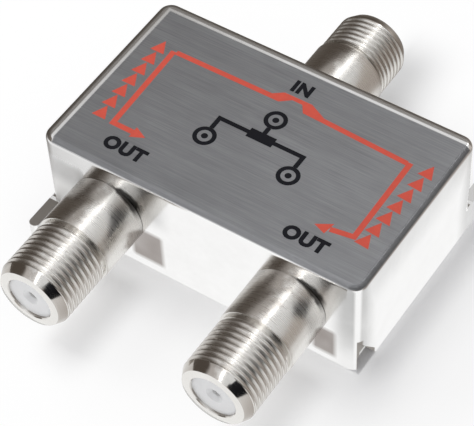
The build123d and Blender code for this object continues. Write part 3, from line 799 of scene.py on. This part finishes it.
# The line with its hump under the input, the two legs, and their arrow ends
DIAGRAM = (
    band_outline(((-16.15, 6.2), (-15.75, -7.05), (-12.9, -7.05)), LINE_WIDTH),
    ((-15.79, 6.55), (-15.79, 5.85), (-0.95, 5.98), (0.35, 7.02), (1.75, 7.0), (2.5, 5.92), (16.85, 5.32),
     (16.85, 6.02), (5.1, 6.5), (2.75, 7.62), (-1.1, 7.58), (-2.3, 6.68)),
    band_outline(((17.2, 5.9), (17.3, -6.75), (14.4, -7.25)), LINE_WIDTH),
    ((-11.1, -7.05), (-12.9, -6.2), (-12.9, -7.9)),
    ((12.5, -7.5), (14.45, -6.35), (14.15, -8.1)),
)

# The two columns of flow marks: x, highest tip, and how far each mark leans to the right of the one above it
FLOW_COLUMNS = ((-17.95, 7.1, 0.02), (19.75, 6.9, -0.17))
FLOW_COUNT = 7
FLOW_PITCH = 2.05
FLOW_LENGTH, FLOW_WIDTH = 1.98, 1.95

# Text, share of the word size, and middle
WORDS = (("IN", 1.10, (0.45, 9.05)), ("OUT", 1.14, (-12.2, -9.75)), ("OUT", 1.14, (12.8, -10.0)))
# How much bolder than the font, as a share of the letters' size, and how much wider set
LETTER_WEIGHT = 0.060
LETTER_SPACING = 1.10

# The symbol: three round ports and the lines that join them to a bar
PORTS = ((0.4, 3.3), (-5.4, -3.1), (6.2, -3.1))
PORT_RADIUS = 1.45
PORT_HOLE = 0.62
PIN_RADIUS = 0.42
LEAD_WIDTH = 0.6
SYMBOL_LINES = (
    band_outline(((0.4, 1.85), (0.4, 0.88)), LEAD_WIDTH),
    band_outline(((-5.4, -1.65), (-5.4, 0.15), (-1.35, 0.15)), LEAD_WIDTH),
    band_outline(((2.15, 0.15), (6.2, 0.15), (6.2, -1.65)), LEAD_WIDTH),
    ((-1.35, 0.88), (-1.35, -0.58), (2.15, -0.58), (2.15, 0.88)),
)

# How far the ink reaches into the metal
INK_SINK = 0.001 * MM


def arrow(tip, direction, length, width):
    """Corner points of a solid arrowhead."""
    tip, run = Vector(tip), Vector(direction).normalized()
    side = Vector((-run.y, run.x))
    back = tip - run * length
    return [tuple(tip), tuple(back + side * width / 2), tuple(back - side * width / 2)]


def flat_shape(bm, points):
    """Adds a flat face with the given corners."""
    bm.faces.new([bm.verts.new((x * MM, y * MM, 0.0)) for x, y in points])


def join_into(bm, other, place):
    """Moves a flat shape to its place and adds it to the first."""
    bmesh.ops.translate(other, vec=(place[0] * MM, place[1] * MM, 0.0), verts=other.verts[:])
    mesh = bpy.data.meshes.new("join")
    other.to_mesh(mesh)
    other.free()
    bm.from_mesh(mesh)
    bpy.data.meshes.remove(mesh)


def word(text, size):
    """A flat word about the origin."""
    curve = bpy.data.curves.new(f"word_{text}", "FONT")
    curve.body = text
    curve.size = size
    curve.align_x = "CENTER"
    curve.align_y = "CENTER"
    curve.offset = size * LETTER_WEIGHT
    curve.space_character = LETTER_SPACING
    curve.resolution_u = 4
    holder = bpy.data.objects.new(f"word_{text}", curve)
    bpy.context.scene.collection.objects.link(holder)
    bpy.context.view_layer.update()
    flat = bpy.data.meshes.new_from_object(holder)
    bpy.data.objects.remove(holder)
    bm = bmesh.new()
    bm.from_mesh(flat)
    bpy.data.meshes.remove(flat)
    bmesh.ops.remove_doubles(bm, verts=bm.verts[:], dist=1e-7)
    return bm


def port_ring():
    """A flat ring about the origin."""
    bm = bmesh.new()
    bmesh.ops.create_circle(bm, segments=32, radius=PORT_RADIUS * MM)
    for vert in new_verts(bmesh.ops.extrude_edge_only(bm, edges=bm.edges[:])):
        vert.co *= PORT_HOLE
    return bm


def pin_dot():
    """A flat dot about the origin."""
    bm = bmesh.new()
    bmesh.ops.create_circle(bm, segments=20, radius=PIN_RADIUS * MM, cap_ends=True)
    return bm


def print_top(name, bm, ink, height):
    """Raises flat shapes to the ink's height on the top and makes them a piece."""
    bmesh.ops.translate(bm, vec=(0, 0, TOP_Z - INK_SINK), verts=bm.verts[:])
    made = bmesh.ops.extrude_face_region(bm, geom=bm.faces[:], use_keep_orig=True)
    bmesh.ops.translate(bm, vec=(0, 0, height), verts=new_verts(made))
    bmesh.ops.recalc_face_normals(bm, faces=bm.faces[:])
    piece = new_piece(name, bm, ink)
    piece.data.shade_flat()


class SPLITTER_OT_printing(bpy.types.Operator):
    """Print the line diagram, the port words and the symbol on the top"""

    bl_idname = "splitter.printing"
    bl_label = "Printing"

    def execute(self, context):
        settings = context.scene.splitter_print
        red = material("red_ink", settings.red, 1500, roughness=0.5, spread=0.14, specular=0.3)
        black = material("black_ink", settings.black, 1500, roughness=0.45, spread=0.3, specular=0.15)

        lines = bmesh.new()
        for outline in DIAGRAM:
            flat_shape(lines, outline)
        for x, top, lean in FLOW_COLUMNS:
            for i in range(FLOW_COUNT):
                tip = (x + lean * i, top - FLOW_PITCH * i)
                flat_shape(lines, arrow(tip, (-lean, FLOW_PITCH), FLOW_LENGTH, FLOW_WIDTH))
        print_top("top_diagram", lines, red, settings.ink_height)

        words = bmesh.new()
        for text, scale, middle in WORDS:
            join_into(words, word(text, settings.word_size * scale), middle)
        for middle in PORTS:
            join_into(words, port_ring(), middle)
            join_into(words, pin_dot(), middle)
        for outline in SYMBOL_LINES:
            flat_shape(words, outline)
        print_top("top_words", words, black, settings.ink_height)
        return {"FINISHED"}


# Stage

# What the metal mirrors
ROOM_LEFT = (0.15, 0.131, 0.114)
ROOM_RIGHT = (0.50, 0.455, 0.42)
ROOM_HIGH = (0.72, 0.72, 0.72)
ROOM_TOP = (0.80, 0.80, 0.81)
ROOM_FRONT = (0.92, 0.92, 0.93)
ROOM_LAMP = (4.6, 4.6, 4.6)
ROOM_CARD = (0.008, 0.008, 0.010)

# Where in the room each begins and is full, by direction
ROOM_SIDES = (-0.35, 0.5)
ROOM_OVERHEAD = (0.75, 1.0)
ROOM_HORIZON = (0.57, 0.65)
HORIZON_TILT = 0.226
ROOM_FRONT_Y = (-0.2, -0.45)
ROOM_FRONT_RIGHT = (0.35, 0.1)
ROOM_FRONT_LEFT = (-0.62, -0.48)
LAMP_LEAN = 0.09
LAMP_WIDTH = (0.02, 0.085, 1.0, 0.0)
LAMP_LOW_END = (0.45, 0.60)
CARD_DIRECTION = (0.80, -0.52, 0.30)
CARD_SIZE = (0.86, 0.92)

# Even light on the object, and what the camera sees behind it
EVEN_LIGHT = (0.97, 0.975, 1.0)
EVEN_STRENGTH = 0.56
WHITE = (1, 1, 1)

# The floor as metal sees it: brown beyond some distance from a place in front of the box, and behind a line
MIRRORED_MIDDLE = (12 * MM, -14 * MM, BOX_LOW.z)
MIRRORED_FAR = (33 * MM, 52 * MM)
MIRRORED_BACK = (-28 * MM, -16 * MM)
MIRRORED_SIDES = (-20 * MM, 20 * MM)
MIRRORED_SHARE = 0.94

# The floor as the camera sees it: how much it glows by distance from the box, and in a shadow,
# and how softly the dark under the box ends
GLOW_NEAR = (0.0, 9 * MM, 0.50, 0.82)
GLOW_FAR = (8 * MM, 18 * MM, 0.0, 0.10)
GLOW_IN_SHADE = 0.40
UNDER_FADE = 0.1 * MM

# Soft shadows on the floor. The first along the right wall
STRIP_X = (21 * MM, 23 * MM)
STRIP_X_END = (23 * MM, 27 * MM, 1.0, 0.0)
STRIP_Y = (-16 * MM, -9 * MM)
# Right of each output, from its middle
BESIDE_X = (-1 * MM, 2 * MM)
BESIDE_X_END = (4 * MM, 9 * MM)
BESIDE_Y = (-33 * MM, -28 * MM)
BESIDE_Y_END = (-15 * MM, -17 * MM)
BESIDE_SHARE = 0.80
# Behind the box, right of the input, where the floor is darker too
BEHIND_X = (-2 * MM, 1 * MM)
BEHIND_X_END = (2.5 * MM, 11 * MM, 1.0, 0.0)
BEHIND_Y = (12 * MM, 14 * MM)
BEHIND_Y_END = (30 * MM, 41 * MM, 1.0, 0.0)
BEHIND_COLOUR = 0.50

FLOOR_RADIUS = 0.9
FLOOR_DROP = 0.01 * MM
KEY_SIZE = (0.30, 0.22)
KEY_COLOUR = (1.0, 0.995, 0.985)
KEY_PLACE = (-0.36, 0.03, 0.28)
SENSOR_WIDTH = 36.0
# How far right of the origin and above it the picture's middle is
VIEW_RIGHT, VIEW_UP = -2.945 * MM, 0.880 * MM


def mirrored_room(mix, view):
    """The studio that metal mirrors: pale overhead and in front, brown elsewhere, a lamp and a black card."""
    x, y, z = mix.split(view)
    low = mix.blend(mix.ramp(x, *ROOM_SIDES), ROOM_LEFT, ROOM_RIGHT)
    high = mix.blend(mix.ramp(z, *ROOM_OVERHEAD), ROOM_HIGH, ROOM_TOP)
    tilt = mix.math("MULTIPLY_ADD", x, HORIZON_TILT, z)
    room = mix.blend(mix.ease(tilt, *ROOM_HORIZON), low, high)
    front = mix.times(mix.ramp(y, *ROOM_FRONT_Y), mix.ramp(x, *ROOM_FRONT_RIGHT),
                      mix.ramp(x, *ROOM_FRONT_LEFT))
    room = mix.blend(front, room, ROOM_FRONT)
    # A long narrow lamp overhead, which draws the line of light along each socket
    off = mix.math("ABSOLUTE", mix.math("SUBTRACT", mix.math("DIVIDE", x, z), LAMP_LEAN))
    room = mix.blend(mix.times(mix.ease(off, *LAMP_WIDTH), mix.ramp(z, *LAMP_LOW_END)), room, ROOM_LAMP)
    # The card is low in front on the right, and gives the turned tips their dark side
    return mix.blend(mix.toward(view, CARD_DIRECTION, *CARD_SIZE), room, ROOM_CARD)


def surroundings(world):
    """White behind everything for the camera, an even light, and for metal a studio to mirror."""
    world.use_nodes = True
    mix = Mixer(world.node_tree)
    mix.nodes.clear()
    view = mix.nodes.new("ShaderNodeTexCoord").outputs["Generated"]
    rays = mix.nodes.new("ShaderNodeLightPath").outputs
    mirrored = mix.background(mirrored_room(mix, view))
    lit = mix.layer(rays["Is Glossy Ray"], mix.background(EVEN_LIGHT, EVEN_STRENGTH), mirrored)
    seen = mix.layer(rays["Is Camera Ray"], lit, mix.background(WHITE))
    mix.feed(mix.nodes.new("ShaderNodeOutputWorld").inputs["Surface"], seen)


def behind_shadow(mix, x, y):
    """The soft shadow of the back socket, which falls on its right."""
    return mix.times(mix.ramp(x, *BEHIND_X), mix.ease(x, *BEHIND_X_END), mix.ramp(y, *BEHIND_Y),
                     mix.ease(y, *BEHIND_Y_END))


def front_shadows(mix, x, y):
    """The soft shadows along the right wall and right of each output."""
    shade = mix.times(mix.ramp(x, *STRIP_X), mix.ease(x, *STRIP_X_END), mix.ease(y, *STRIP_Y))
    for middle in (-SOCKET_X, SOCKET_X):
        rise, fall = [[middle + off for off in span] for span in (BESIDE_X, BESIDE_X_END)]
        beside = mix.times(mix.ramp(x, *rise), mix.ease(x, *fall, 1.0, 0.0), mix.ramp(y, *BESIDE_Y),
                           mix.ramp(y, *BESIDE_Y_END), BESIDE_SHARE)
        shade = mix.most(shade, beside)
    return shade


def camera_glow(mix, x, y, shade):
    """How much white the camera sees on the floor: more off the box, less in shade, none under the box."""
    across, along = mix.math("ABSOLUTE", x), mix.math("ABSOLUTE", y)
    outside = mix.most(mix.ramp(across, HALF_X - UNDER_FADE, HALF_X + UNDER_FADE),
                       mix.ramp(along, HALF_Y - UNDER_FADE, HALF_Y + UNDER_FADE))
    aside = mix.most(mix.math("SUBTRACT", across, HALF_X), 0.0)
    ahead = mix.most(mix.math("SUBTRACT", along, HALF_Y), 0.0)
    gap = mix.math("SQRT", mix.math("ADD", mix.times(aside, aside), mix.times(ahead, ahead)))
    glow = mix.math("ADD", mix.ease(gap, *GLOW_NEAR), mix.ramp(gap, *GLOW_FAR))
    return mix.times(outside, glow, mix.ramp(shade, 0.0, 1.0, 1.0, GLOW_IN_SHADE))


def pale_floor(colour):
    """A matt pale floor that shows whiter than it lights, and that metal sees brown far off."""
    made = bpy.data.materials.new("pale_floor")
    made.use_nodes = True
    mix = Mixer(made.node_tree)
    shader = mix.nodes["Principled BSDF"]
    shader.inputs["Roughness"].default_value = 0.9
    shader.inputs["Specular IOR Level"].default_value = 0.1
    rays = mix.nodes.new("ShaderNodeLightPath").outputs
    glossy = rays["Is Glossy Ray"]
    place = mix.place()
    x, y, _ = mix.split(place)

    reach = mix.nodes.new("ShaderNodeVectorMath")
    reach.operation = "DISTANCE"
    mix.feed(reach.inputs[0], place)
    reach.inputs[1].default_value = MIRRORED_MIDDLE
    far = mix.times(mix.ease(reach.outputs["Value"], *MIRRORED_FAR), glossy, mix.ramp(y, *MIRRORED_BACK))
    brown = mix.blend(mix.ramp(x, *MIRRORED_SIDES), ROOM_LEFT, ROOM_RIGHT)
    glow = mix.nodes.new("ShaderNodeEmission")
    mix.feed(glow.inputs["Color"], mix.blend(far, WHITE, brown))

    behind = behind_shadow(mix, x, y)
    mix.feed(shader.inputs["Base Color"], mix.blend(behind, colour, [c * BEHIND_COLOUR for c in colour]))
    lifted = camera_glow(mix, x, y, mix.most(front_shadows(mix, x, y), behind))
    share = mix.most(mix.times(rays["Is Camera Ray"], lifted), mix.times(glossy, MIRRORED_SHARE), far)
    shown = mix.layer(share, shader.outputs[0], glow.outputs[0])
    mix.feed(mix.nodes["Material Output"].inputs["Surface"], shown)
    return made


def round_floor(scene, made):
    bm = bmesh.new()
    bmesh.ops.create_circle(bm, cap_ends=True, segments=96, radius=FLOOR_RADIUS)
    bmesh.ops.translate(bm, vec=(0, 0, BOX_LOW.z - FLOOR_DROP), verts=bm.verts[:])
    mesh = bpy.data.meshes.new("floor")
    bm.to_mesh(mesh)
    bm.free()
    mesh.materials.append(made)
    floor = bpy.data.objects.new("floor", mesh)
    scene.collection.objects.link(floor)


def key_lamp(scene, power):
    """A large soft lamp, high on the left, that metal doesn't mirror."""
    light = bpy.data.lights.new("key", "AREA")
    light.shape = "RECTANGLE"
    light.size, light.size_y = KEY_SIZE
    light.energy = power
    light.color = KEY_COLOUR
    lamp = bpy.data.objects.new("key", light)
    scene.collection.objects.link(lamp)
    lamp.visible_glossy = False
    lamp.location = KEY_PLACE
    lamp.rotation_mode = "QUATERNION"
    lamp.rotation_quaternion = (-Vector(KEY_PLACE)).to_track_quat("-Z", "Y")


def place_camera(scene, settings):
    """The camera, on a line of sight past the origin."""
    azimuth, elevation, roll = settings.azimuth, settings.elevation, settings.roll
    flat = math.cos(elevation)
    back = Vector((math.sin(azimuth) * flat, -math.cos(azimuth) * flat, math.sin(elevation)))
    level = Vector((math.cos(azimuth), math.sin(azimuth), 0))
    rise = back.cross(level)
    right = level * math.cos(roll) + rise * math.sin(roll)
    up = rise * math.cos(roll) - level * math.sin(roll)
    eye = right * VIEW_RIGHT + up * VIEW_UP + back * settings.distance
    data = bpy.data.cameras.new("camera")
    data.sensor_width = SENSOR_WIDTH
    data.lens = settings.lens
    data.clip_start = 0.01
    data.clip_end = 10.0
    camera = bpy.data.objects.new("camera", data)
    scene.collection.objects.link(camera)
    turn = Matrix((right, up, back)).transposed().to_4x4()
    camera.matrix_world = Matrix.Translation(eye) @ turn
    scene.camera = camera


class SPLITTER_OT_stage(bpy.types.Operator):
    """Set the floor, the soft light and the camera"""

    bl_idname = "splitter.stage"
    bl_label = "Stage"

    def execute(self, context):
        settings = context.scene.splitter_stage
        scene = context.scene
        scene.view_settings.view_transform = "Standard"
        scene.world = bpy.data.worlds.new("studio")
        surroundings(scene.world)
        round_floor(scene, pale_floor(settings.floor))
        key_lamp(scene, settings.key_power)
        place_camera(scene, settings)
        return {"FINISHED"}


class SPLITTER_PT_panel(bpy.types.Panel):
    """Lists the splitter's pieces and their settings"""

    bl_idname = "SPLITTER_PT_panel"
    bl_label = "Coaxial splitter"
    bl_space_type = "VIEW_3D"
    bl_region_type = "UI"
    bl_category = "Splitter"

    def draw(self, context):
        layout = self.layout
        for operator in OPERATORS:
            layout.operator(operator.bl_idname)
        for name, group in GROUPS:
            box = layout.box()
            for setting in group.__annotations__:
                box.prop(getattr(context.scene, name), setting)


OPERATORS = (
    SPLITTER_OT_stage,
    SPLITTER_OT_housing,
    SPLITTER_OT_insides,
    SPLITTER_OT_sockets,
    SPLITTER_OT_printing,
)
GROUPS = (
    ("splitter_sockets", SocketSettings),
    ("splitter_print", PrintSettings),
    ("splitter_metals", MetalSettings),
    ("splitter_stage", StageSettings),
)


def register():
    for name, group in GROUPS:
        bpy.utils.register_class(group)
        setattr(bpy.types.Scene, name, PointerProperty(type=group))
    for made in (*OPERATORS, SPLITTER_PT_panel):
        bpy.utils.register_class(made)


def unregister():
    for made in (SPLITTER_PT_panel, *reversed(OPERATORS)):
        bpy.utils.unregister_class(made)
    for name, group in reversed(GROUPS):
        delattr(bpy.types.Scene, name)
        bpy.utils.unregister_class(group)


def main():
    register()
    bpy.ops.splitter.stage()
    bpy.ops.splitter.housing()
    bpy.ops.splitter.insides()
    bpy.ops.splitter.sockets()
    bpy.ops.splitter.printing()


if __name__ == "__main__":
    main()
